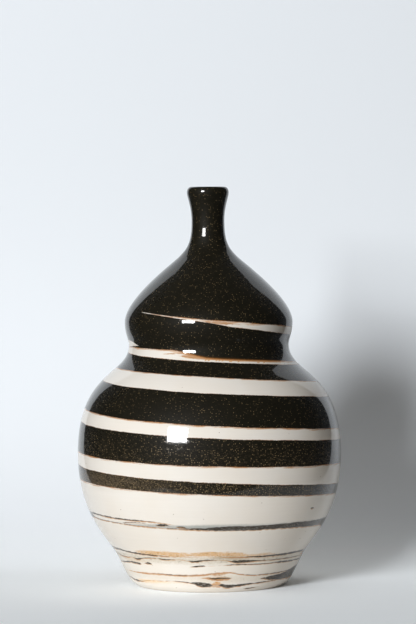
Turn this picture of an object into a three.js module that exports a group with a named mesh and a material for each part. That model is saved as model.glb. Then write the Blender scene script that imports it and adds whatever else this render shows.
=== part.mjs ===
// Bottle vase thrown from two clays, in millimetres, +Z up.
// The foot stands on z = 0, the pot's axis is the Z axis, and the side with the pale sliver faces -Y.
// A dark and a pale strand of clay wind down the wall together as a double helix. Each turn of a strand
// is one band through the full thickness of the wall, and the turns are parted at the back, at +Y.

import * as THREE from 'three';
import { mergeVertices } from 'three/addons/utils/BufferGeometryUtils.js';

// Stations of the outline from the foot up. rise is the height above the station below, lean is how
// much the radius grows for each unit of height, and below and above say how far the curve holds that
// lean, as a share of the stretch on that side.
const foot = { radius: 50.1, rise: 3, lean: 0.68, above: 0.32 };
const ankle = { radius: 59.5, rise: 17.8, lean: 0.63, below: 0.17, above: 0.17 };
const belly = { radius: 82.9, rise: 61.6, lean: 0, below: 0.58, above: 0.78 };
const waist = { radius: 50.3, rise: 68.5, lean: 0, below: 0.28, above: 0.26 };
const bulb = { radius: 52.8, rise: 14.3, lean: 0, below: 0.56, above: 0.36 };
const neckRoot = { radius: 18.5, rise: 40.8, lean: -1.03, below: 0.09, above: 0.24 };
const neck = { radius: 10.3, rise: 22.5, lean: 0, below: 0.59, above: 0.52 };
const lip = { radius: 13.2, rise: 17.8, lean: 0.03, below: 0.17 };
const stations = [foot, ankle, belly, waist, bulb, neckRoot, neck, lip];

// Wall, lip and foot
const wallThickness = 4;
const lipRound = 3.7;
const lipBoreFlare = 0.9;
const footBevel = 3.6;
const footRingWidth = 7;
const footRecess = 2.5;
const floorThickness = 6;
const floorFillet = 7;

// Layers of clay down the front of the pot. depth is how much of the height each takes up, and fall is
// how far its lower edge drops in one turn; the last one ends at the foot's level joint. The depths are
// stretched together to fill the wall between the crown's joint and the foot's joint.
const crownJointAboveBulb = 12.8;
const footJointAboveFloor = 9.5;
const layers = [
  { name: 'dark_bulb_crown', depth: 10, fall: 28 },
  { name: 'light_bulb_sliver', depth: 2.1, fall: 43 },
  { name: 'dark_bulb_band', depth: 20.7, fall: 22 },
  { name: 'light_waist_band', depth: 2.7, fall: 17 },
  { name: 'dark_waist_band', depth: 9, fall: 24 },
  { name: 'light_shoulder_band', depth: 9.3, fall: 25 },
  { name: 'dark_shoulder_band', depth: 19.2, fall: 29 },
  { name: 'light_upper_belly_band', depth: 7.4, fall: 26 },
  { name: 'dark_belly_band', depth: 16.9, fall: 17 },
  { name: 'light_belly_band', depth: 9.8, fall: 26 },
  { name: 'dark_lower_belly_band', depth: 7.5, fall: 22 },
  { name: 'light_lower_belly_band', depth: 20.2, fall: 6 },
  { name: 'dark_lower_streak', depth: 2.1, fall: 9 },
  { name: 'light_ankle_band', depth: 18.7, fall: 7 },
  { name: 'dark_ankle_streak', depth: 1.2, fall: 7 },
  { name: 'light_foot_rise', depth: 3.2 },
];

// The pale strand starts as a point part way round the first turn. Strand ends are blunt where they meet a
// level joint.
const sliverTipTurn = -0.155;
const sliverStartTurn = -0.1;
const bluntEnd = 1;
const clayJoint = 0.3;

// Fineness of the solids
const columns = 40;
const rowHeight = 6;
const curveSteps = 16;
const lipSteps = 4;
const filletSteps = 3;

const darkClay = new THREE.MeshStandardMaterial({ color: '#2b2119', roughness: 0.12, metalness: 0 });
const lightClay = new THREE.MeshStandardMaterial({ color: '#e6ddd0', roughness: 0.14, metalness: 0 });

// Outline as points of radius and height
let height = 0;
for (const station of stations) {
  height += station.rise;
  station.height = height;
}

function curveBetween(lower, upper) {
  const gap = upper.height - lower.height;
  const hold = lower.above * gap;
  const reach = upper.below * gap;
  return new THREE.CubicBezierCurve(
    new THREE.Vector2(lower.radius, lower.height),
    new THREE.Vector2(lower.radius + lower.lean * hold, lower.height + hold),
    new THREE.Vector2(upper.radius - upper.lean * reach, upper.height - reach),
    new THREE.Vector2(upper.radius, upper.height),
  );
}

const outline = [new THREE.Vector2(foot.radius, foot.height)];
for (let i = 1; i < stations.length; i += 1) {
  outline.push(...curveBetween(stations[i - 1], stations[i]).getPoints(curveSteps).slice(1));
}

function outlineAt(z) {
  let i = outline.findIndex((point) => point.y > z);
  if (i < 0) i = outline.length - 1;
  i = Math.max(i, 1);
  const [lower, upper] = [outline[i - 1], outline[i]];
  const slope = (upper.x - lower.x) / (upper.y - lower.y);
  return { radius: lower.x + slope * (z - lower.y), slope };
}

const outerRadius = (z) => outlineAt(z).radius;

// A leaning wall is thicker when it is measured level.
const innerRadius = (z) => outlineAt(z).radius - wallThickness * Math.hypot(1, outlineAt(z).slope);

// Heights of the strands' edges, as smooth curves over the turns of the helix. The front of the pot is
// at whole turns and the back at half turns.
const floorTop = footRecess + floorThickness;
const footJoint = floorTop + footJointAboveFloor;
const crownJoint = bulb.height + crownJointAboveBulb;
const depthSum = layers.reduce((sum, layer) => sum + layer.depth, 0);
const stretch = (crownJoint - footJoint) / depthSum;

let edgeHeight = crownJoint;
const undersides = layers.slice(0, -1).map(({ depth, fall }) => {
  edgeHeight -= depth * stretch;
  return { height: edgeHeight, fall: fall * stretch };
});

// The last turn ends at the back, where the streak of dark clay runs out above the foot's joint.
const lastTurn = layers.length / 2 - 1;
const endTurn = lastTurn + 0.5;
const endHeight = footJoint + bluntEnd;
const endFall = undersides.at(-1).fall;
const streakDepth = layers.at(-2).depth * stretch;

const darkUnderside = [
  { turn: -0.5, height: crownJoint - bluntEnd, fall: undersides[0].fall / 2 },
  ...undersides.filter((_, i) => i % 2 === 0).map((edge, i) => ({ ...edge, turn: i })),
  { turn: endTurn, height: endHeight, fall: endFall },
];
const darkBottom = (turn) => heightOnCurve(darkUnderside, turn);

const lightUnderside = [
  { turn: 1 + sliverTipTurn, height: darkBottom(sliverTipTurn), fall: undersides[0].fall },
  ...undersides.filter((_, i) => i % 2 === 1).map((edge, i) => ({ ...edge, turn: i + 1 })),
  { turn: endTurn, height: endHeight + streakDepth, fall: endFall },
];

// Above the sliver's tip, dark clay lies straight on dark clay.
function darkTop(turn) {
  return turn < 1 + sliverTipTurn ? darkBottom(turn - 1) : heightOnCurve(lightUnderside, turn);
}

// Smooth curve through the knots, with each knot's own fall
function heightOnCurve(knots, turn) {
  let i = knots.findIndex((knot) => knot.turn > turn);
  if (i < 0) i = knots.length - 1;
  i = Math.max(i, 1);
  const [a, b] = [knots[i - 1], knots[i]];
  const span = b.turn - a.turn;
  const t = (turn - a.turn) / span;
  const s = 1 - t;
  return s * s * (1 + 2 * t) * a.height + t * t * (1 + 2 * s) * b.height
    - span * t * s * (s * a.fall - t * b.fall);
}

// A band is a block bent round the wall: its length follows the turn, its height fills the space between
// its two edges, and its thickness is the wall.
function bandGeometry(fromTurn, toTurn, topEdge, bottomEdge) {
  const middle = (fromTurn + toTurn) / 2;
  const tallest = Math.max(...[fromTurn, middle, toTurn].map((turn) => topEdge(turn) - bottomEdge(turn)));
  const lengthSteps = Math.round((toTurn - fromTurn) * columns);
  const heightSteps = Math.max(1, Math.round(tallest / rowHeight));
  const block = new THREE.BoxGeometry(1, 1, 1, lengthSteps, heightSteps, 1);
  block.deleteAttribute('normal');
  block.deleteAttribute('uv');
  const geometry = mergeVertices(block);
  const position = geometry.getAttribute('position');
  for (let i = 0; i < position.count; i += 1) {
    const along = position.getX(i) + 0.5;
    const up = position.getY(i) + 0.5;
    const out = position.getZ(i) + 0.5;
    const turn = fromTurn + (toTurn - fromTurn) * along;
    const top = topEdge(turn) - clayJoint / 2;
    const bottom = bottomEdge(turn) + clayJoint / 2;
    const z = bottom + (top - bottom) * up;
    const radius = innerRadius(z) + (outerRadius(z) - innerRadius(z)) * out;
    const angle = turn * 2 * Math.PI + clayJoint * (0.5 - along) / radius;
    position.setXYZ(i, radius * Math.sin(angle), -radius * Math.cos(angle), z);
  }
  geometry.computeVertexNormals();
  return geometry;
}

// A ring or disc turned about the pot's axis from points of radius and height
function turnedGeometry(points) {
  const lathe = new THREE.LatheGeometry(points.map(([radius, z]) => new THREE.Vector2(radius, z)), columns);
  lathe.rotateX(Math.PI / 2);
  lathe.deleteAttribute('normal');
  lathe.deleteAttribute('uv');
  const geometry = mergeVertices(lathe);
  geometry.computeVertexNormals();
  return geometry;
}

function levelsBetween(low, high) {
  const steps = Math.max(1, Math.round((high - low) / rowHeight));
  return Array.from({ length: steps + 1 }, (_, i) => low + (high - low) * i / steps);
}

// Lip, neck and the top of the upper bulb: one closed ring above the level joint
function neckGeometry() {
  const low = crownJoint + clayJoint / 2;
  const levels = levelsBetween(low, lip.height);
  const outside = levels.map((z) => [outerRadius(z), z]);
  const inside = levels.map((z) => [innerRadius(z), z]).reverse();
  const boreRadius = inside[0][0] - lipBoreFlare;
  const crest = (lip.radius + boreRadius) / 2;
  const halfWidth = (lip.radius - boreRadius) / 2;
  const round = [];
  for (let i = 1; i < 2 * lipSteps; i += 1) {
    const angle = i / (2 * lipSteps) * Math.PI;
    round.push([crest + halfWidth * Math.cos(angle), lip.height + lipRound * Math.sin(angle)]);
  }
  return turnedGeometry([...outside, ...round, ...inside, outside[0]]);
}

// Foot ring, floor and the short wall above the floor, below the level joint
function footGeometry() {
  const high = footJoint - clayJoint / 2;
  const ringOuter = foot.radius - footBevel;
  const ringInner = ringOuter - footRingWidth;
  const outside = levelsBetween(foot.height, high).map((z) => [outerRadius(z), z]);
  const filletTop = floorTop + floorFillet;
  const filletCentre = innerRadius(filletTop) - floorFillet;
  const fillet = [];
  for (let i = 0; i <= filletSteps; i += 1) {
    const angle = i / filletSteps * Math.PI / 2;
    fillet.push([filletCentre + floorFillet * Math.cos(angle), filletTop - floorFillet * Math.sin(angle)]);
  }
  return turnedGeometry([
    [0, footRecess],
    [ringInner - footRecess, footRecess],
    [ringInner, 0],
    [ringOuter, 0],
    ...outside,
    [innerRadius(high), high],
    ...fillet,
    [0, floorTop],
  ]);
}

const vase = new THREE.Group();

function addClay(name, geometry) {
  const mesh = new THREE.Mesh(geometry, name.startsWith('dark') ? darkClay : lightClay);
  mesh.name = name;
  vase.add(mesh);
}

addClay('dark_neck', neckGeometry());
layers.forEach(({ name }, i) => {
  const turn = Math.floor(i / 2);
  const isDark = i % 2 === 0;
  const from = name === 'light_bulb_sliver' ? sliverStartTurn : turn - 0.5;
  const darkTopEdge = i === 0 ? () => crownJoint : darkTop;
  const lightBottomEdge = turn === lastTurn ? () => footJoint : (at) => darkTop(at + 1);
  addClay(name, isDark
    ? bandGeometry(from, turn + 0.5, darkTopEdge, darkBottom)
    : bandGeometry(from, turn + 0.5, darkBottom, lightBottomEdge));
});
addClay('light_foot', footGeometry());

export default vase;
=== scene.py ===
import math

import bmesh
import bpy
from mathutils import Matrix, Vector


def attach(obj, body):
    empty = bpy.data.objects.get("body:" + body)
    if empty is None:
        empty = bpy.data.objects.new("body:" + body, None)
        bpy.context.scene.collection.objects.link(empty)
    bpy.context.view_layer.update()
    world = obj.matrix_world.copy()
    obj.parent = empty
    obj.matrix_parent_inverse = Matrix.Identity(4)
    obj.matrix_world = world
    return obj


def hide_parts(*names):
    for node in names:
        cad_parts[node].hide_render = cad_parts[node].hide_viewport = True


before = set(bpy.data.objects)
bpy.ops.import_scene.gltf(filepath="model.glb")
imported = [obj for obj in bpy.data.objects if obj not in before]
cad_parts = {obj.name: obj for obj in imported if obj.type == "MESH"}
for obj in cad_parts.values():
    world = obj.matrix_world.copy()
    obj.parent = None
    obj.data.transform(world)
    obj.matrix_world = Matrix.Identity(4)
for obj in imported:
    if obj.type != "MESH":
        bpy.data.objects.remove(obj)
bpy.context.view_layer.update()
print("frame loaded")

mm = 0.001
tiny = 1e-6  # far below any size or turn here

# The pot's outline from the foot up, in millimetres. lean is how much the radius grows for each unit of
# height; below and above say how much of the stretch on that side holds the lean.
potOutline = {
    "foot": {"height": 3.0, "radius": 50.1, "lean": 0.68, "below": 0.0, "above": 0.32},
    "ankle": {"height": 20.8, "radius": 59.5, "lean": 0.63, "below": 0.17, "above": 0.17},
    "belly": {"height": 82.4, "radius": 82.9, "lean": 0.0, "below": 0.58, "above": 0.78},
    "waist": {"height": 150.9, "radius": 50.3, "lean": 0.0, "below": 0.28, "above": 0.26},
    "bulb": {"height": 165.2, "radius": 52.8, "lean": 0.0, "below": 0.56, "above": 0.36},
    "neckRoot": {"height": 206.0, "radius": 18.5, "lean": -1.03, "below": 0.09, "above": 0.24},
    "neck": {"height": 228.5, "radius": 10.3, "lean": 0.0, "below": 0.59, "above": 0.52},
    "lip": {"height": 246.3, "radius": 13.2, "lean": 0.03, "below": 0.17, "above": 0.0},
}

potWall = {
    "thickness": 4.0,
    "crownJoint": 178.0,  # height where the neck ring meets the banded wall
    "footJoint": 18.0,  # height where the banded wall meets the foot
    "columns": 360,  # round the pot
    "rowHeight": 1.5,
    "samples": 80,  # of the outline between two stations
    "samplesApart": 1e-4,  # at least
    "wallMatch": 0.98,  # how closely a face follows the outline where it takes its normals
    "levelMatch": 0.999,  # past this a face is level, and is left flat
}


def sampleOutline():
    steps = potWall["samples"]
    samples = []  # height, radius, slope
    stations = list(potOutline.values())
    for low, high in zip(stations, stations[1:]):
        rise = high["height"] - low["height"]
        hold, reach = low["above"] * rise, high["below"] * rise
        heights = (low["height"], low["height"] + hold, high["height"] - reach, high["height"])
        radii = (low["radius"], low["radius"] + low["lean"] * hold,
                 high["radius"] - high["lean"] * reach, high["radius"])
        for i in range(steps + 1):
            t = i / steps
            s = 1 - t
            weights = (s * s * s, 3 * s * s * t, 3 * s * t * t, t * t * t)
            rates = (-s * s, s * s - 2 * s * t, 2 * s * t - t * t, t * t)  # a third of how the weights change
            z = sum(w * h for w, h in zip(weights, heights))
            climb = sum(w * h for w, h in zip(rates, heights))
            if climb > tiny and (not samples or z - samples[-1][0] > potWall["samplesApart"]):
                slope = sum(w * r for w, r in zip(rates, radii)) / climb
                samples.append((z, sum(w * r for w, r in zip(weights, radii)), slope))
    return samples


outline = sampleOutline()


def wallAt(z):
    low, high = 0, len(outline) - 1
    while high - low > 1:
        middle = (low + high) // 2
        low, high = (low, middle) if outline[middle][0] > z else (middle, high)
    a, b = outline[low], outline[high]
    t = (z - a[0]) / (b[0] - a[0])
    return a[1] + (b[1] - a[1]) * t, a[2] + (b[2] - a[2]) * t  # radius of the outside, slope


def insideAt(z):
    radius, slope = wallAt(z)
    return radius - potWall["thickness"] * math.hypot(1, slope)


def wallPoint(turn, z, radius):
    angle = turn * 2 * math.pi  # whole turns face the front, half turns the back
    return Vector((radius * math.sin(angle), -radius * math.cos(angle), z)) * mm


# Undersides of the two clay strands, as turn, height and fall per turn
strandEdges = {
    "dark": [
        (-0.5, 177.0, 14), (-0.15, 172.3, 28), (0, 168.0, 29), (0.18, 163.2, 20), (0.83, 150.0, 2),
        (0.925, 149.3, 12), (0.965, 146.7, 60), (1, 144.4, 26), (1.09, 142.6, 18), (1.16, 141.3, 18),
        (2, 133.5, 24), (3, 105.0, 29), (4, 80.7, 17), (5, 63.4, 22), (6, 41.1, 9), (7, 21.2, 7),
        (7.5, 19.0, 7),
    ],
    "light": [
        (0.85, 172.3, 28), (1, 166.1, 50), (1.09, 161.6, 42), (1.18, 158.3, 24), (2, 142.3, 19),
        (3, 124.2, 25), (4, 97.6, 26), (5, 70.9, 26), (6, 43.4, 6), (7, 22.4, 7), (7.5, 20.2, 7),
    ],
    "rustReach": [  # how far rust-brown bleeds into the dark strand above its underside, by turn
        (-0.02, 0.3), (0.02, 0.55), (0.08, 0.5), (0.13, 0.32), (0.92, 0.35), (0.955, 1.4), (1.0, 2.0),
        (1.05, 2.0), (1.12, 1.5), (1.2, 0.6), (1.3, 0.35),
    ],
    "topReach": 0.08,  # the same below the strand's top edge
    "sliverTip": -0.15,  # turn at which the pale strand starts
    "veinsFrom": 5.6,  # below this turn the strands feather out on the front, where veins take over
    "veinsReach": 0.215,  # turns from the front that the veins cover
    "feather": 60,  # millimetres off the seam for each turn inside that reach
    "plainRust": 0.3,  # reach of the rust where no strands meet
    "seamLimit": 10,  # millimetres from the seam past which its distance isn't needed
}


def edgeHeight(knots, turn):
    i = next((i for i, knot in enumerate(knots) if knot[0] > turn), len(knots) - 1)
    a, b = knots[max(i, 1) - 1], knots[max(i, 1)]
    span = b[0] - a[0]
    t = (turn - a[0]) / span
    s = 1 - t
    return s * s * (1 + 2 * t) * a[1] + t * t * (1 + 2 * s) * b[1] - span * t * s * (s * a[2] - t * b[2])


def darkBottom(turn):
    return edgeHeight(strandEdges["dark"], turn)


def darkTop(turn):
    if turn < 1 + strandEdges["sliverTip"]:
        return darkBottom(turn - 1)  # dark clay lies on dark clay before the sliver starts
    return edgeHeight(strandEdges["light"], turn)


def rustReach(turn):
    knots = strandEdges["rustReach"]
    turn = max(knots[0][0], min(knots[-1][0] - tiny, turn))
    a, b = next((a, b) for a, b in zip(knots, knots[1:]) if turn < b[0])
    return a[1] + (b[1] - a[1]) * (turn - a[0]) / (b[0] - a[0])


# Each edge gives its height, the turns to where the two clays meet, how far it is feathered out, and how
# far rust bleeds from it.
def undersideOf(turn):
    return darkBottom(turn), max(0, strandEdges["sliverTip"] - turn), feathering(turn), rustReach(turn)


def topOf(turn):
    sameClay = max(0, 1 + strandEdges["sliverTip"] - turn)
    return darkTop(turn), sameClay, feathering(turn), strandEdges["topReach"]


def crownLevel(turn):
    return potWall["crownJoint"], 1, 0, strandEdges["plainRust"]


def footLevel(turn):
    return potWall["footJoint"], 1, 0, strandEdges["plainRust"]


def feathering(turn):
    if turn < strandEdges["veinsFrom"]:
        return 0
    return max(0, strandEdges["veinsReach"] - abs(turn - round(turn))) * strandEdges["feather"]


def finishPiece(bm, node, material):
    mesh = bpy.data.meshes.new(node)
    bm.to_mesh(mesh)
    bm.free()
    normals = []  # the curve's own normals on the wall, and plain ones elsewhere
    for face in mesh.polygons:
        for index in face.vertices:
            point = mesh.vertices[index].co
            slope = wallAt(point.z / mm)[1]
            outward = Vector((point.x, point.y, -slope * point.xy.length)).normalized()
            agreement = outward.dot(face.normal)
            onWall = face.use_smooth and abs(agreement) > potWall["wallMatch"]
            normals.append(outward * math.copysign(1, agreement) if onWall else Vector((0, 0, 0)))
    mesh.normals_split_custom_set(normals)
    words = node.split("_")
    piece = bpy.data.objects.new(words[0] + "".join(word.title() for word in words[1:]), mesh)
    bpy.context.scene.collection.objects.link(piece)
    mesh.materials.append(material)
    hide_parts(node)
    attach(piece, "root")
    print("made", piece.name, len(mesh.polygons), "faces")


def bendBand(node, fromTurn, toTurn, topEdge, bottomEdge, material):
    columns = round((toTurn - fromTurn) * potWall["columns"])
    turns = [fromTurn + (toTurn - fromTurn) * k / columns for k in range(columns + 1)]
    edges = [(topEdge(turn), bottomEdge(turn)) for turn in turns]
    rows = max(2, round(max(top[0] - bottom[0] for top, bottom in edges) / potWall["rowHeight"]))
    side = 1 if node.startswith("dark") else -1
    limit = strandEdges["seamLimit"]
    bm = bmesh.new()
    bmesh.ops.create_grid(bm, x_segments=columns, y_segments=rows, size=0.5)
    seam = bm.verts.layers.float.new("seam")
    rust = bm.verts.layers.float.new("rust")
    for vert in bm.verts:
        column = round((vert.co.x + 0.5) * columns)
        (top, topAway, topFeather, topRust), (bottom, bottomAway, bottomFeather, bottomRust) = edges[column]
        z = bottom + (top - bottom) * (vert.co.y + 0.5)
        radius, slope = wallAt(z)
        lean, girth = math.hypot(1, slope), 2 * math.pi * radius
        above = (top - z) * lean + topAway * girth - side * topFeather
        below = (z - bottom) * lean + bottomAway * girth - side * bottomFeather
        vert[seam] = max(-limit, min(limit, side * min(above, below)))
        vert[rust] = topRust if above < below else bottomRust
        vert.co = wallPoint(turns[column], z, radius)
    bmesh.ops.remove_doubles(bm, verts=bm.verts, dist=tiny)
    thickened = bmesh.ops.extrude_face_region(bm, geom=bm.faces[:])["geom"]
    insideVerts = {vert for vert in thickened if isinstance(vert, bmesh.types.BMVert)}
    for vert in insideVerts:
        z = vert.co.z / mm
        vert.co.xy *= insideAt(z) / wallAt(z)[0]
    bmesh.ops.recalc_face_normals(bm, faces=bm.faces)
    for face in bm.faces:
        face.smooth = len({vert in insideVerts for vert in face.verts}) == 1
    finishPiece(bm, node, material)


def turnRing(node, points, material):
    bm = bmesh.new()
    seam = bm.verts.layers.float.new("seam")
    rust = bm.verts.layers.float.new("rust")
    loop = [bm.verts.new((0, -radius * mm, z * mm)) for radius, z in points]
    rim = [bm.edges.new(pair) for pair in zip(loop, loop[1:])]
    if points[0][0] > 0:
        rim.append(bm.edges.new((loop[-1], loop[0])))
    for vert in loop:
        vert[seam] = strandEdges["seamLimit"] if node.startswith("dark") else -strandEdges["seamLimit"]
        vert[rust] = strandEdges["plainRust"]
    bmesh.ops.spin(bm, geom=loop + rim, cent=(0, 0, 0), axis=(0, 0, 1), angle=2 * math.pi,
                   steps=potWall["columns"], use_merge=True)
    bmesh.ops.remove_doubles(bm, verts=bm.verts, dist=tiny)
    bmesh.ops.recalc_face_normals(bm, faces=bm.faces)
    for face in bm.faces:
        face.smooth = abs(face.normal.z) < potWall["levelMatch"]
    finishPiece(bm, node, material)


def levelsBetween(low, high):
    steps = max(1, round((high - low) / potWall["rowHeight"]))
    return [low + (high - low) * i / steps for i in range(steps + 1)]


neckRim = {
    "round": 3.7,  # height of the rounded lip above the last wall height
    "boreFlare": 0.9,  # how far the round reaches into the bore
    "steps": 16,
}


def neckProfile():
    levels = levelsBetween(potWall["crownJoint"], potOutline["lip"]["height"])
    outside = [(wallAt(z)[0], z) for z in levels]
    inside = [(insideAt(z), z) for z in reversed(levels)]
    bore = inside[0][0] - neckRim["boreFlare"]
    crest, half = (outside[-1][0] + bore) / 2, (outside[-1][0] - bore) / 2
    angles = [i / neckRim["steps"] * math.pi for i in range(1, neckRim["steps"])]
    lip = [(crest + half * math.cos(a), levels[-1] + neckRim["round"] * math.sin(a)) for a in angles]
    return outside + lip + inside


footRing = {
    "ringOuter": 46.5,
    "ringInner": 39.5,
    "recess": 2.5,  # how far the floor is set back inside the ring
    "floorTop": 8.5,
    "fillet": 7.0,  # between the floor and the wall, inside the pot
    "filletSteps": 8,
    "edgeRound": 0.5,  # on the ring's resting edges
}


def footProfile():
    recess, fillet, edge = footRing["recess"], footRing["fillet"], footRing["edgeRound"]
    inner, outer, steps = footRing["ringInner"], footRing["ringOuter"], footRing["filletSteps"]
    levels = levelsBetween(potOutline["foot"]["height"], potWall["footJoint"])
    filletTop = footRing["floorTop"] + fillet
    centre = insideAt(filletTop) - fillet
    angles = [i / steps * math.pi / 2 for i in range(steps + 1)]
    return [
        (0, recess), (inner - recess, recess), (inner - edge, edge), (inner + edge, 0),
        (outer - edge, 0), (outer + edge, edge),
        *[(wallAt(z)[0], z) for z in levels],
        (insideAt(levels[-1]), levels[-1]),
        *[(centre + fillet * math.cos(a), filletTop - fillet * math.sin(a)) for a in angles],
        (0, footRing["floorTop"]),
    ]


# Small parts of a material's node tree
def addNode(tree, kind, **settings):
    node = tree.nodes.new("ShaderNode" + kind)
    for name, value in settings.items():
        setattr(node, name, value)
    return node


def plug(tree, socket, value):
    if isinstance(value, bpy.types.NodeSocket):
        tree.links.new(value, socket)
    else:
        socket.default_value = value


def split(tree, kind, value):
    node = addNode(tree, kind)
    plug(tree, node.inputs[0], value)
    return node.outputs


def reckon(tree, operation, *values):
    node = addNode(tree, "Math", operation=operation)
    for socket, value in zip(node.inputs, values):
        plug(tree, socket, value)
    return node.outputs[0]


def inverted(tree, value):
    return reckon(tree, "SUBTRACT", 1.0, value)


def weighed(tree, first, firstWeight, second, secondWeight):
    return reckon(tree, "MULTIPLY_ADD", first, firstWeight, reckon(tree, "MULTIPLY", second, secondWeight))


def fade(tree, value, low, high, bottom=0.0, top=1.0):
    node = addNode(tree, "MapRange", interpolation_type="SMOOTHSTEP")
    names = ("Value", "From Min", "From Max", "To Min", "To Max")
    for name, given in zip(names, (value, low, high, bottom, top)):
        plug(tree, node.inputs[name], given)
    return node.outputs["Result"]


# Noise over the clay: waves for each millimetre, in all directions or along each axis, its detail and
# roughness, and the fade that it goes through
patterns = {
    "turningLines": {
        "waves": (0.015, 0.015, 0.9), "detail": 4.0, "roughness": 0.6, "fade": (0.25, 0.75, 0.98, 1.0),
    },
    "palePatches": {"waves": 0.035, "detail": 3.0, "roughness": 0.5, "fade": (0.35, 0.65)},
    "darkPatches": {"waves": 0.12, "detail": 4.0, "roughness": 0.6},
    "clouds": {"waves": (0.5, 0.5, 0.8), "detail": 5.0, "roughness": 0.7, "fade": (0.45, 0.75)},
    "slow": {"waves": (0.05, 0.05, 0.2), "detail": 3.0, "roughness": 0.5},
    "quick": {"waves": 0.9, "detail": 3.0, "roughness": 0.6},
    "streaks": {"waves": (0.09, 0.09, 1.5), "detail": 3.0, "roughness": 0.5},
    "veinWidth": {
        "waves": (0.35, 0.35, 0.6), "detail": 2.0, "roughness": 0.5, "fade": (0.3, 0.6, -0.45, 0.15),
    },
    "veinBreaks": {"waves": 1.3, "detail": 3.0, "roughness": 0.6, "fade": (0.38, 0.5, 0.75, 1.0)},
    "flecks": {"waves": (0.4, 0.4, 1.1), "detail": 4.0, "roughness": 0.65, "fade": (0.54, 0.68)},
    "ripple": {"waves": 0.13, "detail": 2.0, "roughness": 0.5},
    "peel": {"waves": 0.55, "detail": 2.0, "roughness": 0.5},
}


def grain(tree, spot, name):
    pattern = patterns[name]
    waves = pattern["waves"]
    if isinstance(waves, tuple):
        stretch = addNode(tree, "Mapping")
        plug(tree, stretch.inputs["Vector"], spot)
        plug(tree, stretch.inputs["Scale"], waves)
        spot, waves = stretch.outputs["Vector"], 1.0
    node = addNode(tree, "TexNoise")
    plug(tree, node.inputs["Vector"], spot)
    plug(tree, node.inputs["Scale"], waves)
    plug(tree, node.inputs["Detail"], pattern["detail"])
    plug(tree, node.inputs["Roughness"], pattern["roughness"])
    return fade(tree, node.outputs["Fac"], *pattern["fade"]) if "fade" in pattern else node.outputs["Fac"]


def cellsOf(tree, spot, scale):
    node = addNode(tree, "TexVoronoi")
    plug(tree, node.inputs["Vector"], spot)
    plug(tree, node.inputs["Scale"], scale)
    return node.outputs["Distance"], node.outputs["Color"]


def tint(tree, factor, first, second, mode="MIX"):
    node = addNode(tree, "Mix", data_type="RGBA", blend_type=mode)
    for socket, given in zip((node.inputs["Factor"], *node.inputs[6:8]), (factor, first, second)):
        if isinstance(given, tuple):
            given = (*given, 1)
        plug(tree, socket, given)
    return node.outputs[2]


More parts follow.
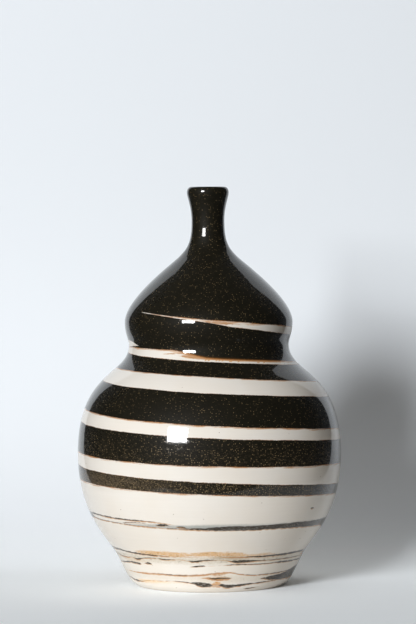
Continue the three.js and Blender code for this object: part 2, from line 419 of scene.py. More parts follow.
# Veins of dark and rust-brown clay: degrees from the front, height, and half the thickness of the dark
# core and of the rusty edge round it, in millimetres
footVeins = {
    "streakUpper": [
        (-90, 47.0, 0.9, 0.3), (-65, 47.2, 0.55, 0.4), (-57, 47.1, 0.45, 0.6), (-46, 46.6, 0.5, 0.65),
        (-31, 46.3, 0.3, 0.55), (-24, 45.8, 0.1, 0.5), (-19, 45.1, 0.0, 0.3), (-15, 44.5, 0.0, 0.0),
    ],
    "streakLower": [
        (-90, 44.9, 0.6, 0.3), (-77, 44.9, 0.45, 0.4), (-64, 44.3, 0.3, 0.45), (-55, 44.0, 0.3, 0.5),
        (-41, 43.2, 0.25, 0.5), (-29, 42.8, 0.2, 0.5), (-19, 42.3, 0.25, 0.5), (-11, 42.2, 0.4, 0.7),
        (-4, 42.2, 0.75, 0.95), (8, 42.3, 1.3, 1.2), (20, 42.1, 1.4, 1.3), (31, 42.2, 1.4, 1.4),
        (43, 42.2, 1.55, 1.6), (57, 41.7, 1.75, 1.75), (75, 41.3, 2.0, 1.9), (90, 40.9, 2.1, 1.8),
    ],
    "streakInner": [
        (-47, 43.7, 0.0, 0.0), (-43, 44.6, 0.25, 0.25), (-34, 45.0, 0.25, 0.25), (-30, 44.4, 0.1, 0.1),
        (-25, 44.1, 0.4, 0.45), (-23, 44.3, 0.75, 0.7), (-21, 44.3, 0.6, 0.5), (-17, 43.4, 0.0, 0.0),
        (-14, 43.3, 0.6, 0.7), (-11, 42.9, 0.0, 0.0),
    ],
    "ankleLine": [
        (-90, 25.4, 0.6, 0.3), (-63, 25.1, 0.65, 0.4), (-53, 24.5, 0.6, 0.5), (-38, 23.9, 0.5, 0.6),
        (-30, 23.7, 0.25, 0.5), (-24, 23.6, 0.15, 0.4), (-11, 23.9, 0.05, 0.25), (4, 23.9, 0.0, 0.2),
        (13, 23.5, 0.1, 0.5), (24, 23.1, 0.35, 0.5), (31, 23.0, 0.55, 0.6), (57, 23.0, 0.65, 0.5),
        (90, 22.3, 0.6, 0.3),
    ],
    "ankleSecond": [
        (-78, 21.6, 0.3, 0.4), (-72, 21.3, 0.35, 0.5), (-60, 20.8, 0.2, 0.5), (-54, 21.2, 0.15, 0.3),
        (-51, 20.5, 0.5, 0.6), (-48, 20.3, 0.6, 0.65), (-45, 21.0, 0.3, 0.35), (-34, 22.0, 0.25, 0.35),
        (-27, 21.5, 0.35, 0.5), (-18, 22.0, 0.1, 0.3), (-13, 21.3, 0.15, 0.3), (-10, 20.8, 0.55, 0.65),
        (-2, 21.7, 0.45, 0.5), (8, 21.7, 0.1, 0.3), (12, 20.9, 0.35, 0.5), (16, 20.4, 0.8, 0.9),
        (25, 20.4, 0.55, 0.7), (33, 20.2, 0.25, 0.4), (60, 19.8, 0.35, 0.3), (90, 19.6, 0.3, 0.2),
    ],
    "ankleThird": [
        (-90, 16.2, 0.3, 0.2), (-76, 16.5, 0.35, 0.4), (-67, 16.8, 0.5, 0.5), (-56, 17.7, 0.6, 0.6),
        (-50, 17.3, 0.65, 0.7), (-46, 17.7, 0.0, 0.2), (-41, 18.4, 0.6, 0.7), (-37, 17.8, 0.0, 0.1),
        (-15, 17.2, 0.0, 0.1), (-11, 17.3, 0.25, 0.3), (-6, 17.8, 0.5, 0.5), (-1, 18.0, 0.1, 0.2),
        (7, 18.3, 0.1, 0.2), (14, 18.5, 0.35, 0.4), (38, 17.9, 0.3, 0.35), (46, 18.0, 0.45, 0.5),
        (60, 17.6, 0.5, 0.4), (90, 17.3, 0.5, 0.2),
    ],
    "rustLine": [
        (-76, 11.6, 0.0, 0.1), (-65, 11.5, 0.0, 0.35), (-43, 11.5, 0.15, 0.6), (-34, 11.8, 0.25, 0.65),
        (-16, 11.6, 0.35, 0.75), (-5, 12.2, 0.2, 0.7), (5, 13.5, 0.15, 0.6), (11, 13.8, 0.1, 0.55),
        (19, 12.4, 0.2, 0.5), (29, 11.1, 0.25, 0.5), (50, 11.0, 0.3, 0.4), (64, 11.3, 0.35, 0.3),
        (82, 9.8, 0.4, 0.3),
    ],
    "heelWedge": [
        (-7, 10.1, 0.0, 0.0), (-3, 10.2, 0.1, 0.6), (2, 9.6, 0.45, 0.9), (7, 9.7, 0.6, 1.1),
        (12, 9.7, 0.4, 0.8), (17, 9.6, 0.0, 0.0), (32, 8.2, 0.0, 0.0), (37, 8.3, 0.4, 0.4),
        (44, 8.1, 1.2, 1.2), (56, 8.1, 2.0, 2.0), (65, 8.8, 2.7, 2.7), (75, 9.6, 3.2, 3.2),
        (90, 9.8, 3.0, 3.0),
    ],
    "heelLine": [
        (-82, 6.8, 0.0, 0.0), (-71, 6.6, 0.4, 0.4), (-64, 5.6, 0.6, 0.7), (-57, 5.4, 0.3, 0.5),
        (-47, 6.9, 0.05, 0.3), (-36, 7.4, 0.1, 0.3), (-26, 7.6, 0.2, 0.35), (-17, 7.2, 0.3, 0.4),
        (-12, 6.6, 0.6, 0.6), (-9, 6.1, 1.1, 1.1), (-4, 5.5, 1.4, 1.4), (0, 5.3, 1.1, 1.2),
        (4, 5.3, 0.0, 1.0), (7, 5.2, 0.8, 1.0), (12, 4.4, 1.1, 1.1), (18, 4.7, 0.7, 0.8),
        (29, 5.3, 0.5, 0.6), (40, 5.9, 0.35, 0.5), (52, 6.2, 0.25, 0.4), (80, 6.2, 0.0, 0.2),
    ],
    "ironSpot": [(52.5, 51.8, 0.0, 0.0), (54, 51.8, 0.5, 0.6), (55.5, 51.8, 0.0, 0.0)],
    "heelSpot": [
        (24, 2.4, 0.0, 0.0), (27, 2.3, 0.45, 0.4), (32, 2.6, 0.3, 0.3), (40, 3.0, 0.0, 0.0),
    ],
}

waistVeins = {
    "feather": [
        (-36, 147.2, 0.0, 0.0), (-31, 147.35, 0.0, 0.35), (-24, 147.6, 0.0, 0.5), (-19, 147.9, 0.15, 0.6),
        (-15, 148.0, 0.2, 0.5), (-11, 147.4, 0.0, 0.0),
    ],
    "featherLow": [
        (-24, 146.4, 0.0, 0.0), (-20, 146.2, 0.0, 0.35), (-15, 146.2, 0.0, 0.9), (-9, 145.6, 0.0, 1.1),
        (-2, 144.9, 0.0, 0.8), (6, 144.0, 0.0, 0.0),
    ],
    "underTip": [
        (-90, 150.3, 0.3, 0.3), (-72, 150.4, 0.2, 0.5), (-64, 150.5, 0.1, 0.5), (-58, 150.4, 0.0, 0.0),
    ],
    "sliverTop": [
        (-6, 168.0, 0.0, 0.0), (-1, 167.6, 0.0, 0.5), (4, 166.9, 0.1, 0.8), (9, 166.4, 0.15, 0.95),
        (15, 165.8, 0.1, 0.7), (20, 165.3, 0.0, 0.4), (25, 164.9, 0.0, 0.0),
    ],
}

# Soft stains over the pale clay; each line gives degrees from the front, height, half the thickness, strength
footStains = {
    "ankleVeil": {
        "color": (0.640, 0.570, 0.455),
        "flecks": (0.210, 0.150, 0.095),
        "softness": 3.5,
        "fray": 1.0,
        "line": [
            (-90, 20.5, 4.0, 0.6), (-60, 21.0, 4.0, 0.75), (-30, 21.5, 4.0, 0.75), (-12, 21.5, 4.0, 0.75),
            (5, 21.5, 4.0, 0.8), (25, 21.0, 4.0, 0.8), (60, 20.5, 4.0, 0.6), (90, 20.0, 4.0, 0.5),
        ],
    },
    "heelVeil": {
        "color": (0.640, 0.555, 0.430),
        "softness": 3.5,
        "fray": 1.0,
        "line": [
            (-90, 10.0, 4.0, 0.3), (-40, 10.0, 4.0, 0.3), (-15, 10.0, 4.0, 0.35), (5, 9.5, 4.0, 0.5),
            (25, 9.0, 4.0, 0.4), (60, 9.5, 4.0, 0.3), (90, 10.0, 4.0, 0.3),
        ],
    },
    "gold": {
        "color": (0.710, 0.435, 0.195),
        "flecks": (0.480, 0.270, 0.105),
        "softness": 1.1,
        "fray": 0.9,
        "line": [
            (-49, 25.7, 0.0, 0.0), (-44, 25.4, 1.5, 0.75), (-36, 25.3, 2.0, 0.95), (-29, 25.4, 2.0, 1.0),
            (-22, 25.3, 2.0, 1.0), (-18, 25.0, 1.9, 0.95), (-11, 25.2, 1.6, 0.85), (-6, 25.4, 1.9, 0.95),
            (0, 25.7, 2.1, 1.0), (6, 25.4, 2.0, 0.95), (14, 25.1, 1.9, 0.95), (19, 24.5, 1.7, 0.85),
            (24, 24.0, 1.5, 0.7), (29, 24.0, 1.4, 0.7), (33, 24.2, 1.4, 0.7), (38, 24.0, 1.1, 0.5),
            (46, 23.9, 0.0, 0.0),
        ],
    },
    "smear": {
        "color": (0.46, 0.355, 0.240),
        "softness": 1.4,
        "fray": 0.8,
        "line": [
            (-2, 23.1, 0.0, 0.0), (3, 23.1, 1.5, 0.6), (7, 23.3, 1.7, 0.85), (13, 22.9, 1.7, 0.85),
            (18, 22.2, 1.4, 0.6), (23, 21.9, 0.8, 0.3), (30, 21.9, 0.0, 0.0),
        ],
    },
    "haze": {
        "color": (0.390, 0.405, 0.385),
        "softness": 2.2,
        "fray": 0.35,
        "line": [
            (-58, 44.6, 0.0, 0.0), (-46, 44.2, 1.4, 0.45), (-38, 43.5, 1.8, 0.75), (-29, 43.5, 2.0, 0.9),
            (-24, 43.5, 2.1, 1.0), (-17, 43.2, 2.1, 1.0), (-11, 43.0, 2.3, 1.0), (-4, 43.2, 2.6, 1.0),
            (3, 43.4, 2.5, 0.95), (10, 43.5, 2.4, 0.9), (17, 43.4, 2.3, 0.8), (30, 43.3, 2.0, 0.6),
            (45, 43.4, 1.8, 0.55), (60, 43.2, 1.6, 0.5), (75, 42.9, 1.2, 0.4), (90, 42.6, 0.8, 0.3),
        ],
    },
    "heel": {
        "color": (0.90, 0.690, 0.450),
        "softness": 1.6,
        "fray": 0.8,
        "line": [
            (-66, 5.8, 0.0, 0.0), (-60, 5.9, 1.3, 0.8), (-52, 5.9, 1.8, 1.0), (-45, 6.0, 1.7, 1.0),
            (-36, 6.3, 1.4, 0.8), (-27, 6.4, 1.1, 0.6), (-17, 5.8, 0.8, 0.45), (-10, 4.8, 0.5, 0.2),
            (-5, 4.2, 0.0, 0.0),
        ],
    },
    "heelGap": {
        "color": (0.64, 0.330, 0.110),
        "softness": 1.3,
        "fray": 0.8,
        "line": [
            (-1, 6.0, 0.0, 0.0), (2, 6.2, 1.2, 0.8), (4, 6.6, 1.5, 1.0), (6, 6.5, 1.3, 0.9),
            (9, 6.2, 0.0, 0.0),
        ],
    },
    "crest": {
        "color": (0.53, 0.300, 0.135),
        "softness": 1.3,
        "fray": 0.8,
        "line": [
            (-1, 12.1, 0.0, 0.0), (4, 12.2, 1.5, 0.85), (8, 12.5, 1.5, 0.9), (11, 13.2, 0.9, 0.75),
            (14, 13.6, 0.6, 0.5), (20, 13.0, 0.0, 0.0),
        ],
    },
    "lens": {
        "color": (0.30, 0.200, 0.110),
        "softness": 1.0,
        "fray": 0.8,
        "line": [
            (-4, 10.2, 0.0, 0.0), (1, 9.8, 1.0, 0.9), (7, 9.7, 1.3, 0.95), (12, 9.8, 0.9, 0.8),
            (17, 9.8, 0.0, 0.0),
        ],
    },
    "ankle": {
        "color": (0.70, 0.580, 0.440),
        "softness": 1.6,
        "fray": 0.8,
        "line": [
            (-68, 19.9, 0.0, 0.0), (-62, 19.7, 1.8, 0.7), (-54, 19.3, 2.2, 0.75), (-46, 19.1, 1.6, 0.6),
            (-40, 18.7, 1.2, 0.6), (-34, 18.3, 0.0, 0.0),
        ],
    },
}

paleTips = {
    "waist": [  # where pale clay runs up into the dark
        (-90, 152.4, 2.1, 1.0), (-75, 152.4, 1.9, 1.0), (-69, 152.2, 1.5, 1.0), (-65, 151.8, 0.9, 1.0),
        (-61, 151.5, 0.25, 1.0), (-58, 151.3, 0.0, 1.0),
    ],
    "bulb": [  # along the start of the pale strand
        (-55, 172.4, 0.0, 0.0), (-53, 172.3, 0.25, 0.9), (-40, 171.2, 0.3, 1.0), (-28, 170.1, 0.3, 1.0),
        (-18, 169.1, 0.3, 1.0), (-12, 168.5, 0.0, 0.8),
    ],
}

curveReading = {"height": 200.0, "thickness": 4.0, "strength": 1.0}  # what a curve's full value stands for
veinLook = {
    "slowWander": 0.8,  # millimetres
    "quickWander": 0.4,
    "swell": 1.12,  # over the thickness in the lists
    "thinningUpTo": 0.6,  # a thicker vein varies no more than one of this half thickness
    "coreEdge": 0.25,
    "brown": (0.095, 0.062, 0.034),
    "brownShare": 0.25,  # mixed into the dark core
    "rustDrop": 0.35,  # how far the rusty edge hangs below the core, in millimetres
    "rustSpread": 1.12,
    "rustEdge": 0.45,
    "rustPatches": (0.2, 0.6, 0.5, 1.0),  # fades with the streaks
    "rustTone": 0.8,
}


def readCurve(tree, knots, along, fulls):
    curve = addNode(tree, "RGBCurve")
    for channel, full in enumerate(fulls):
        places = [((knot[0] + 90) / 180, knot[channel + 1] / full) for knot in knots]
        points = curve.mapping.curves[channel].points
        points[0].location, points[1].location = places[0], places[-1]
        for place in places[1:-1]:
            points.new(*place)
        for point in points:
            point.handle_type = "AUTO_CLAMPED"
    curve.mapping.update()
    plug(tree, curve.inputs["Color"], along)
    channels = split(tree, "SeparateColor", curve.outputs[0])
    return [reckon(tree, "MULTIPLY", channel, full) for channel, full in zip(channels, fulls)]


def offLine(tree, height, line):
    return reckon(tree, "ABSOLUTE", reckon(tree, "SUBTRACT", height, line))


def swollen(tree, half, width):
    thin = reckon(tree, "MINIMUM", half, veinLook["thinningUpTo"])
    return weighed(tree, thin, width, half, veinLook["swell"])


def inkVeins(tree, veins, along, height, width):
    fulls = (curveReading["height"], curveReading["thickness"], curveReading["thickness"])
    low = reckon(tree, "ADD", height, veinLook["rustDrop"])
    dark = rust = None
    for knots in veins.values():
        line, core, edge = readCurve(tree, knots, along, fulls)
        core = reckon(tree, "SUBTRACT", swollen(tree, core, width), offLine(tree, height, line))
        edge = reckon(tree, "MULTIPLY", swollen(tree, edge, width), veinLook["rustSpread"])
        edge = reckon(tree, "SUBTRACT", edge, offLine(tree, low, line))
        dark = core if dark is None else reckon(tree, "MAXIMUM", dark, core)
        rust = edge if rust is None else reckon(tree, "MAXIMUM", rust, edge)
    dark = fade(tree, dark, 0.0, veinLook["coreEdge"])
    rust = reckon(tree, "MULTIPLY", fade(tree, rust, 0.0, veinLook["rustEdge"]), inverted(tree, dark))
    return dark, rust


def stainMask(tree, knots, along, height, softness, fray=0.0):
    fulls = (curveReading["height"], curveReading["thickness"], curveReading["strength"])
    line, half, strength = readCurve(tree, knots, along, fulls)
    inside = reckon(tree, "ADD", reckon(tree, "SUBTRACT", half, offLine(tree, height, line)), fray)
    return reckon(tree, "MULTIPLY", strength, fade(tree, inside, 0.0, softness))


stainLook = {
    "streakFray": 2.2,  # millimetres at a fray of 1
    "quickFray": 1.6,
    "gaps": (-0.25, 0.15),
    "gapDepth": 0.45,
}


def stainClay(tree, pale, stains, along, height, quick, streaks, flecks):
    drawn = reckon(tree, "SUBTRACT", streaks, 0.5)
    fray = weighed(tree, drawn, stainLook["streakFray"], quick, stainLook["quickFray"])
    for stain in stains.values():
        frayed = reckon(tree, "MULTIPLY", fray, stain["fray"])
        mask = stainMask(tree, stain["line"], along, height, stain["softness"], frayed)
        gaps = fade(tree, quick, *stainLook["gaps"], 1 - stainLook["gapDepth"] * stain["fray"])
        mask = reckon(tree, "MULTIPLY", mask, gaps)
        pale = tint(tree, mask, pale, stain["color"])
        if "flecks" in stain:
            pale = tint(tree, reckon(tree, "MULTIPLY", mask, flecks), pale, stain["flecks"])
    return pale


lightClay = {
    "body": (0.875, 0.838, 0.776),
    "bodyWarm": (0.860, 0.812, 0.737),
    "speck": (0.20, 0.135, 0.085),
    "speckCells": 0.16,  # cells for each millimetre
    "speckEdge": (0.025, 0.06),  # of a cell
    "speckStrength": 0.75,
    "roughness": 1.0,
}


def lightClayColor(tree, spot):
    color = tint(tree, grain(tree, spot, "palePatches"), lightClay["body"], lightClay["bodyWarm"])
    color = tint(tree, 1.0, color, grain(tree, spot, "turningLines"), "MULTIPLY")
    distance = cellsOf(tree, spot, lightClay["speckCells"])[0]
    speck = inverted(tree, fade(tree, distance, *lightClay["speckEdge"]))
    return tint(tree, reckon(tree, "MULTIPLY", speck, lightClay["speckStrength"]), color, lightClay["speck"])


darkClay = {
    "body": (0.0068, 0.0061, 0.0032),
    "bodyWarm": (0.0120, 0.0102, 0.0052),
    "mottle": (0.098, 0.074, 0.048),
    "speck": (0.30, 0.215, 0.110),
    "speckCells": 1.15,  # cells for each millimetre
    "speckCore": 0.18,  # of a cell
    "speckRadius": 0.30,
    "speckGrowth": 0.16,  # towards the foot
    "speckStrength": 0.95,
    "lowness": (108.0, 68.0),  # heights between which the specks thicken towards the foot
    "lowest": (80.0, 70.0),  # and where the lowest band starts
    "rarity": 0.60,  # share of cells with no speck
    "rarityLow": -0.42,
    "rarityLowest": -0.16,
    "clouds": 0.08,
    "cloudsLow": 0.60,
    "veil": 0.75,  # lighter mottle over the left, key-lit side of the lowest band: partly the clay's own mottle, partly painted sheen
    "sheenMottleAcross": (10.0, -70.0),
    "cellTones": (0.1, 0.9, 0.30, 1.15),
    "aboveStreaks": (48.0, 60.0, 0.2, 1.0),  # the streaks round the foot are plainer
    "roughness": 0.55,  # of the clay under its glaze
}


def darkClayColor(tree, spot, across, height):
    lowness = fade(tree, height, *darkClay["lowness"])
    lowest = fade(tree, height, *darkClay["lowest"])
    aboveStreaks = fade(tree, height, *darkClay["aboveStreaks"])
    distance, tones = cellsOf(tree, spot, darkClay["speckCells"])
    chance, tone = split(tree, "SeparateColor", tones)[:2]

    radius = reckon(tree, "MULTIPLY_ADD", lowness, darkClay["speckGrowth"], darkClay["speckRadius"])
    speck = inverted(tree, fade(tree, distance, darkClay["speckCore"], radius))
    rarity = reckon(tree, "MULTIPLY_ADD", lowness, darkClay["rarityLow"], darkClay["rarity"])
    rarity = reckon(tree, "MULTIPLY_ADD", lowest, darkClay["rarityLowest"], rarity)
    speck = reckon(tree, "MULTIPLY", speck, fade(tree, chance, rarity, 1.0, 0.0, darkClay["speckStrength"]))
    speck = reckon(tree, "MULTIPLY", speck, aboveStreaks)

    clouds = grain(tree, spot, "clouds")
    cloudy = reckon(tree, "MULTIPLY_ADD", lowness, darkClay["cloudsLow"], darkClay["clouds"])
    # painted sheen: a lighter brown mottle laid over the left, key-lit side of the lowest band, on top of the
    # clay's own mottle
    veil = reckon(tree, "MULTIPLY", lowest, fade(tree, across, *darkClay["sheenMottleAcross"]))
    veil = reckon(tree, "MULTIPLY", veil, reckon(tree, "ADD", clouds, darkClay["veil"]))
    mottle = reckon(tree, "MAXIMUM", reckon(tree, "MULTIPLY", clouds, cloudy), veil)
    mottle = reckon(tree, "MULTIPLY", mottle, fade(tree, tone, *darkClay["cellTones"]))
    mottle = reckon(tree, "MULTIPLY", mottle, aboveStreaks)
    color = tint(tree, grain(tree, spot, "darkPatches"), darkClay["body"], darkClay["bodyWarm"])
    color = tint(tree, mottle, color, darkClay["mottle"])
    return tint(tree, speck, color, darkClay["speck"]), speck


joint = {
    "slowShake": 1.1,  # millimetres
    "quickShake": 0.6,
    "blend": 0.10,
}

rustClay = {
    "deep": (0.075, 0.034, 0.010),
    "strong": (0.42, 0.170, 0.042),
    "pale": (0.76, 0.440, 0.175),
    "amount": 0.9,
    "paleShare": 3.0,  # reach into the pale clay over the reach into the dark
    "paleReach": 2.6,  # and its limit in millimetres
    "drawnOut": (0.3, 0.7, 0.55, 1.2),  # fades with the streaks: of the reach into the pale clay
    "patches": (0.35, 0.65, 0.25, 0.95),  # and of the amount
    "unbroken": (0.5, 1.4),  # reaches between which the patches close
    "paleSide": (-1.0, -0.45),  # parts of the reach
    "darkSide": (0.1, 1.0),
    "toneFrom": -1.5,  # millimetres from the joint
    "deepAt": 0.9,
}


def bleedRust(tree, ragged, reach, streaks):
    paleReach = reckon(tree, "MULTIPLY", reach, rustClay["paleShare"])
    paleReach = reckon(tree, "MINIMUM", paleReach, rustClay["paleReach"])
    paleReach = reckon(tree, "MULTIPLY", paleReach, fade(tree, streaks, *rustClay["drawnOut"]))
    paleSide = fade(tree, reckon(tree, "DIVIDE", ragged, paleReach), *rustClay["paleSide"])
    darkSide = inverted(tree, fade(tree, reckon(tree, "DIVIDE", ragged, reach), *rustClay["darkSide"]))
    patches = fade(tree, streaks, *rustClay["patches"])
    patches = reckon(tree, "MAXIMUM", patches, fade(tree, reach, *rustClay["unbroken"]))
    return reckon(tree, "MULTIPLY", reckon(tree, "MULTIPLY", paleSide, darkSide), patches)


def bareTips(tree, dark, tips, along, height, onFront):
    for tip in tips.values():
        bare = stainMask(tree, tip, along, height, veinLook["coreEdge"])
        bare = reckon(tree, "MULTIPLY", bare, onFront)
        dark = reckon(tree, "MULTIPLY", dark, inverted(tree, bare))
    return dark


glaze = {
    "roughness": 0.05,
    "refraction": 1.5,
    "ripple": 0.010,  # millimetres
    "peel": 0.014,
    "pitting": 0.020,
    "claySheen": 0.10,  # of the clay under the glaze
}


def glazeRelief(tree, spot, pitted):
    ripple, peel = grain(tree, spot, "ripple"), grain(tree, spot, "peel")
    relief = weighed(tree, ripple, glaze["ripple"], peel, glaze["peel"])
    pits = reckon(tree, "MULTIPLY", pitted, -glaze["pitting"])
    bump = addNode(tree, "Bump")
    bump.inputs["Distance"].default_value = mm
    bump.inputs["Strength"].default_value = 1.0
    plug(tree, bump.inputs["Height"], reckon(tree, "ADD", relief, pits))
    return bump.outputs["Normal"]


# A coat of glaze over clay that has a soft sheen of its own; gives the clay's roughness
def coatClay(tree, shader, relief, dark):
    shader.inputs["Coat Weight"].default_value = 1.0
    shader.inputs["Coat Roughness"].default_value = glaze["roughness"]
    shader.inputs["Coat IOR"].default_value = glaze["refraction"]
    shader.inputs["Specular IOR Level"].default_value = glaze["claySheen"]
    plug(tree, shader.inputs["Coat Normal"], relief)
    return fade(tree, dark, 0.0, 1.0, lightClay["roughness"], darkClay["roughness"])


bareClay = {  # the unglazed foot ring
    "color": (0.52, 0.44, 0.36),
    "share": 0.35,
    "upTo": (0.5, 0.9),
    "roughness": 0.75,
}


def bareRing(tree, color, height, quick):
    bare = inverted(tree, fade(tree, reckon(tree, "ADD", height, quick), *bareClay["upTo"]))
    color = tint(tree, reckon(tree, "MULTIPLY", bare, bareClay["share"]), color, bareClay["color"])
    return color, fade(tree, bare, 0.0, 1.0, glaze["roughness"], bareClay["roughness"])


def glazedClay(name, veins=None, stains=None, tips=None, bareFoot=False):
    material = bpy.data.materials.new(name)
    material.use_nodes = True
    tree = material.node_tree
    shader = tree.nodes["Principled BSDF"]
    place = addNode(tree, "VectorMath", operation="SCALE")
    plug(tree, place.inputs[0], addNode(tree, "TexCoord").outputs["Object"])
    plug(tree, place.inputs["Scale"], 1 / mm)
    spot = place.outputs["Vector"]
    across, deep, height = split(tree, "SeparateXYZ", spot)
    slow = reckon(tree, "SUBTRACT", grain(tree, spot, "slow"), 0.5)
    quick = reckon(tree, "SUBTRACT", grain(tree, spot, "quick"), 0.5)
    streaks = grain(tree, spot, "streaks")

    # Where the two clays meet, with a slightly ragged line and rust-brown bleeding along it
    seam = addNode(tree, "Attribute", attribute_name="seam").outputs["Fac"]
    reach = addNode(tree, "Attribute", attribute_name="rust").outputs["Fac"]
    shake = weighed(tree, slow, joint["slowShake"], quick, joint["quickShake"])
    ragged = reckon(tree, "ADD", seam, shake)
    dark = fade(tree, ragged, -joint["blend"], joint["blend"])
    rust = bleedRust(tree, ragged, reach, streaks)
    toneAt = fade(tree, ragged, rustClay["toneFrom"], 0.0)

    pale = lightClayColor(tree, spot)
    body, speck = darkClayColor(tree, spot, across, height)
    if veins:  # drawn over the angle from the front, which is folded so that the back mirrors it
        angle = reckon(tree, "ARCTAN2", across, reckon(tree, "ABSOLUTE", deep))
        along = reckon(tree, "MULTIPLY_ADD", angle, 1 / math.pi, 0.5)
        wander = weighed(tree, slow, veinLook["slowWander"], quick, veinLook["quickWander"])
        wandered = reckon(tree, "ADD", height, wander)
        veinDark, veinRust = inkVeins(tree, veins, along, wandered, grain(tree, spot, "veinWidth"))
        if tips:  # on the front only
            onFront = reckon(tree, "LESS_THAN", deep, 0.0)
            veinDark = reckon(tree, "MULTIPLY", veinDark, onFront)
            veinRust = reckon(tree, "MULTIPLY", veinRust, onFront)
            dark = bareTips(tree, dark, tips, along, wandered, onFront)
        if stains:
            flecks = grain(tree, spot, "flecks")
            pale = stainClay(tree, pale, stains, along, height, quick, streaks, flecks)
        brown = reckon(tree, "MULTIPLY", veinDark, veinLook["brownShare"])
        body = tint(tree, brown, body, veinLook["brown"])
        broken = reckon(tree, "MULTIPLY", veinDark, grain(tree, spot, "veinBreaks"))
        dark = reckon(tree, "MAXIMUM", dark, broken)
        patches = fade(tree, streaks, *veinLook["rustPatches"])
        rust = reckon(tree, "MAXIMUM", rust, reckon(tree, "MULTIPLY", veinRust, patches))
        toneAt = reckon(tree, "MAXIMUM", toneAt, reckon(tree, "MULTIPLY", veinRust, veinLook["rustTone"]))

    color = tint(tree, dark, pale, body)
    rustTone = tint(tree, toneAt, rustClay["pale"], rustClay["strong"])
    rustTone = tint(tree, fade(tree, ragged, 0.0, rustClay["deepAt"]), rustTone, rustClay["deep"])
    color = tint(tree, reckon(tree, "MULTIPLY", rust, rustClay["amount"]), color, rustTone)
    relief = glazeRelief(tree, spot, reckon(tree, "MULTIPLY", speck, dark))
    roughness = glaze["roughness"]
    if bareFoot:
        color, roughness = bareRing(tree, color, height, quick)
    elif not stains:
        roughness = coatClay(tree, shader, relief, dark)
    shader.inputs["IOR"].default_value = glaze["refraction"]
    plug(tree, shader.inputs["Normal"], relief)
    plug(tree, shader.inputs["Roughness"], roughness)
    plug(tree, shader.inputs["Base Color"], color)
    return material


plainClay = glazedClay("plainClay")
waistClay = glazedClay("waistClay", waistVeins, None, paleTips)
lowerClay = glazedClay("lowerClay", footVeins, footStains)
footClay = glazedClay("footClay", footVeins, footStains, None, True)
print("clays mixed")

bandClays = {"waistBefore": 4, "lowerFrom": 11}  # layers that the waist's and the foot's veins run over
# Layers of clay from the crown down, dark and light in turn; each pair is one turn of the strands
bandNames = [
    "dark_bulb_crown", "light_bulb_sliver", "dark_bulb_band", "light_waist_band", "dark_waist_band",
    "light_shoulder_band", "dark_shoulder_band", "light_upper_belly_band", "dark_belly_band",
    "light_belly_band", "dark_lower_belly_band", "light_lower_belly_band", "dark_lower_streak",
    "light_ankle_band", "dark_ankle_streak", "light_foot_rise",
]

turnRing("dark_neck", neckProfile(), plainClay)
for i, name in enumerate(bandNames):
    turn = i // 2
    clay = plainClay
    if i < bandClays["waistBefore"]:
        clay = waistClay
    elif i >= bandClays["lowerFrom"]:
        clay = lowerClay
    if i % 2 == 0:
        bendBand(name, turn - 0.5, turn + 0.5, crownLevel if i == 0 else topOf, undersideOf, clay)
    else:
        start = strandEdges["sliverTip"] if i == 1 else turn - 0.5
        floor = footLevel if name == bandNames[-1] else lambda at: topOf(at + 1)
        bendBand(name, start, turn + 0.5, undersideOf, floor, clay)
turnRing("light_foot", footProfile(), footClay)
print("pot thrown")

paperSweep = {
    "left": -0.26,
    "right": 0.33,
    "front": -0.21,
    "frontLeft": -0.15,
    "frontRight": 0.19,
    "bendStart": 0.055,
    "bendRadius": 0.20,
    "bendSteps": 24,
    "top": 0.58,
    "paper": (0.90, 0.89, 0.87),  # as it lights the pot
    "wallSeen": (0.874, 0.926, 0.982),  # as it is seen, upright and lying flat; the flat floor is painted brighter than the upright wall to make up for the low lamp lighting it less
    "floorSeenPaintedBright": (1.110, 1.178, 1.238),
    "flatness": 16.0,  # how quickly one gives way to the other in the bend
}


def whitePaper():
    material = bpy.data.materials.new("whitePaper")
    material.use_nodes = True
    tree = material.node_tree
    tree.nodes.remove(tree.nodes["Principled BSDF"])
    rays = addNode(tree, "LightPath")
    seen = reckon(tree, "MAXIMUM", rays.outputs["Is Camera Ray"], rays.outputs["Is Glossy Ray"])
    geometry = addNode(tree, "NewGeometry")
    upward = split(tree, "SeparateXYZ", geometry.outputs["Normal"])[2]
    lying = reckon(tree, "POWER", reckon(tree, "ABSOLUTE", upward), paperSweep["flatness"])
    # painted light: the paper is shown brighter where it lies flat than where it stands upright
    shown = tint(tree, lying, paperSweep["wallSeen"], paperSweep["floorSeenPaintedBright"])
    matte = addNode(tree, "BsdfDiffuse")
    plug(tree, matte.inputs["Color"], tint(tree, seen, paperSweep["paper"], shown))
    clear = addNode(tree, "BsdfTransparent")  # the camera looks through the paper from behind
    mix = addNode(tree, "MixShader")
    behind = reckon(tree, "MULTIPLY", geometry.outputs["Backfacing"], rays.outputs["Is Camera Ray"])
    plug(tree, mix.inputs[0], behind)
    plug(tree, mix.inputs[1], matte.outputs[0])
    plug(tree, mix.inputs[2], clear.outputs[0])
    plug(tree, tree.nodes["Material Output"].inputs["Surface"], mix.outputs[0])
    return material


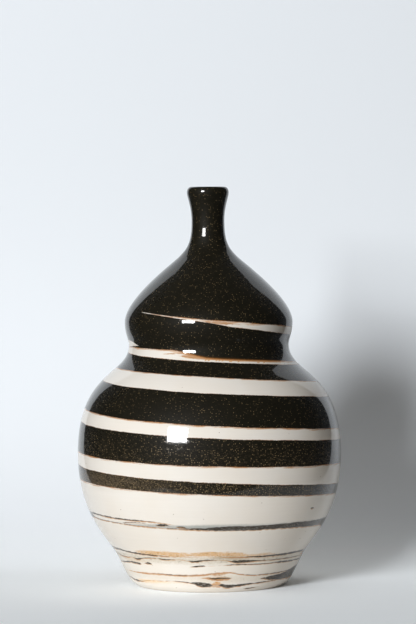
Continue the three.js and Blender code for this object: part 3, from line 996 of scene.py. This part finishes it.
def hangPaper():
    radius, steps, bendStart = paperSweep["bendRadius"], paperSweep["bendSteps"], paperSweep["bendStart"]
    bend = [i / steps * math.pi / 2 for i in range(steps + 1)]
    profile = [(paperSweep["front"], 0.0)]
    profile += [(bendStart + radius * math.sin(a), radius * (1 - math.cos(a))) for a in bend]
    profile.append((profile[-1][0], paperSweep["top"]))
    bm = bmesh.new()
    verts = [bm.verts.new((paperSweep["left"], y, z)) for y, z in profile]
    edges = [bm.edges.new(pair) for pair in zip(verts, verts[1:])]
    drawn = bmesh.ops.extrude_edge_only(bm, edges=edges)["geom"]
    for vert in drawn:
        if isinstance(vert, bmesh.types.BMVert):
            vert.co.x = paperSweep["right"]
    for vert in bm.verts:
        if vert.co.y < bendStart - tiny:
            vert.co.x = paperSweep["frontLeft" if vert.co.x < 0 else "frontRight"]
    for face in bm.faces:
        face.smooth = True
    if sum(face.normal.z for face in bm.faces) < 0:
        bmesh.ops.reverse_faces(bm, faces=bm.faces)
    mesh = bpy.data.meshes.new("paperSweep")
    bm.to_mesh(mesh)
    bm.free()
    mesh.materials.append(whitePaper())
    paper = bpy.data.objects.new("paperSweep", mesh)
    bpy.context.scene.collection.objects.link(paper)


# Turn from the camera's side, rise above the pot's middle and size are in degrees, as the pot sees them
lamps = {
    "softbox": {
        "distance": 3.0, "turn": -28.0, "rise": 15.0, "width": 17.0, "height": 13.0, "power": 88.0,
        "mirrored": True,  # in the glaze
    },
    "ceiling": {
        "distance": 2.0, "turn": 0.0, "rise": 75.0, "width": 50.0, "height": 50.0, "power": 4.5,
        "mirrored": False,
    },
}
lampAim = (0, 0, 0.11)


def hangLamp(name, lamp):
    turn, rise = math.radians(lamp["turn"]), math.radians(lamp["rise"])
    away = Vector((math.sin(turn) * math.cos(rise), -math.cos(turn) * math.cos(rise), math.sin(rise)))
    light = bpy.data.lights.new(name, "AREA")
    light.shape = "RECTANGLE"
    light.size = 2 * lamp["distance"] * math.tan(math.radians(lamp["width"] / 2))
    light.size_y = 2 * lamp["distance"] * math.tan(math.radians(lamp["height"] / 2))
    light.energy = lamp["power"]
    hung = bpy.data.objects.new(name, light)
    hung.location = Vector(lampAim) + away * lamp["distance"]
    hung.rotation_euler = away.to_track_quat("Z", "Y").to_euler()
    hung.visible_camera = False
    hung.visible_glossy = lamp["mirrored"]
    bpy.context.scene.collection.objects.link(hung)


room = {
    "seen": (0.80, 0.86, 0.92),  # colour beyond the paper
    "mirrored": (0.018, 0.020, 0.024),  # the dark room in the glaze
    "fill": (0.050, 0.045, 0.038),  # what the room gives off
}


def dimRoom():
    world = bpy.data.worlds.new("room")
    world.use_nodes = True
    tree = world.node_tree
    rays = addNode(tree, "LightPath")
    glow = tint(tree, rays.outputs["Is Glossy Ray"], room["fill"], room["mirrored"])
    glow = tint(tree, rays.outputs["Is Camera Ray"], glow, room["seen"])
    plug(tree, tree.nodes["Background"].inputs["Color"], glow)
    bpy.context.scene.world = world


camera = {
    "place": (0.0, -1.8, 0.226),
    "pitch": -1.7405,  # degrees
    "tilt": 0.355,  # to the right
    "focalPixels": 2862.5,
    "longSide": 624,  # pixels
    "sensor": 36.0,
}


def placeCamera():
    lens = bpy.data.cameras.new("camera")
    lens.sensor_width = camera["sensor"]
    lens.lens = camera["focalPixels"] * camera["sensor"] / camera["longSide"]
    eye = bpy.data.objects.new("camera", lens)
    eye.location = camera["place"]
    eye.rotation_euler = (math.radians(90 + camera["pitch"]), math.radians(camera["tilt"]), 0)
    bpy.context.scene.collection.objects.link(eye)
    bpy.context.scene.camera = eye


hangPaper()
for name, lamp in lamps.items():
    hangLamp(name, lamp)
dimRoom()
placeCamera()
bpy.context.scene.view_settings.view_transform = "Standard"
print("studio set")
